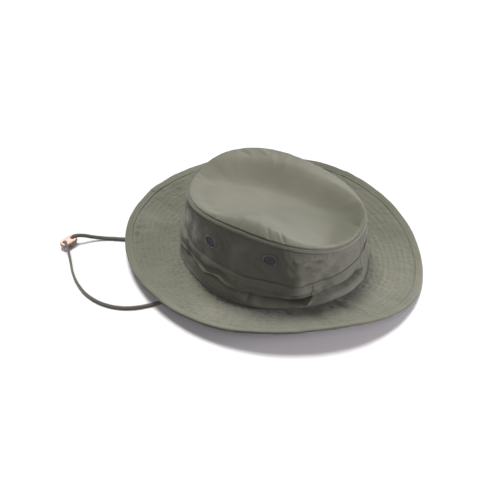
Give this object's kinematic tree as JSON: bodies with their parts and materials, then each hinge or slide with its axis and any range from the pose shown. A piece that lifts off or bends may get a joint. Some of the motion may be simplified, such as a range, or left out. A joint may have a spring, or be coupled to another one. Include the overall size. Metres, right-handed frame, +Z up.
{
  "type": "boonie hat",
  "caption": "Soft olive sun hat with a round crown, mesh vents, a foliage band, a stitched wavy brim and a chin cord with a sliding keeper.",
  "frame": {"origin": "centre of the hat's box without the cord, at the flat foot of the sweatband", "axes": "+X to the wearer's left, -Y to the front of the hat, +Z up through the crown"},
  "size_m": [0.2881, 0.3723, 0.0996],
  "materials": {
    "cloth": "matte olive drab cotton-polyester ripstop",
    "binding": "matte olive twill tape",
    "lining": "matte olive cotton",
    "thread": "matte blue-green polyester thread",
    "label": "matte blank woven tape",
    "cord": "matte braided nylon",
    "leather": "matte natural leather",
    "eyelet": "semi-gloss dark enamel on brass",
    "screen": "matte dark woven wire"
  },
  "bodies": {
    "hat": {"crown_top": "cloth", "crown_side_left": "cloth", "crown_side_right": "cloth", "brim_upper": "cloth", "brim_lower": "cloth", "brim_interlining": "lining", "brim_binding": "binding", "foliage_band": "cloth", "band_tacks": "thread", "sweatband": "lining", "inner_label": "label", "chin_cord": "cord", "cord_tab_left": "binding", "cord_tab_right": "binding", "vent_eyelet_front_left": "eyelet", "vent_screen_front_left": "screen", "vent_washer_front_left": "eyelet", "vent_eyelet_back_left": "eyelet", "vent_screen_back_left": "screen", "vent_washer_back_left": "eyelet", "vent_eyelet_front_right": "eyelet", "vent_screen_front_right": "screen", "vent_washer_front_right": "eyelet", "vent_eyelet_back_right": "eyelet", "vent_screen_back_right": "screen", "vent_washer_back_right": "eyelet"},
    "slider": {"cord_slider": "leather"}
  },
  "joints": [
    {"name": "slider_slide", "type": "slide", "parent": "hat", "child": "slider", "axis": [-0.3899, 0.9208, 0], "range_m": [0, 0.045], "deforming": ["chin_cord"]}
  ]
}
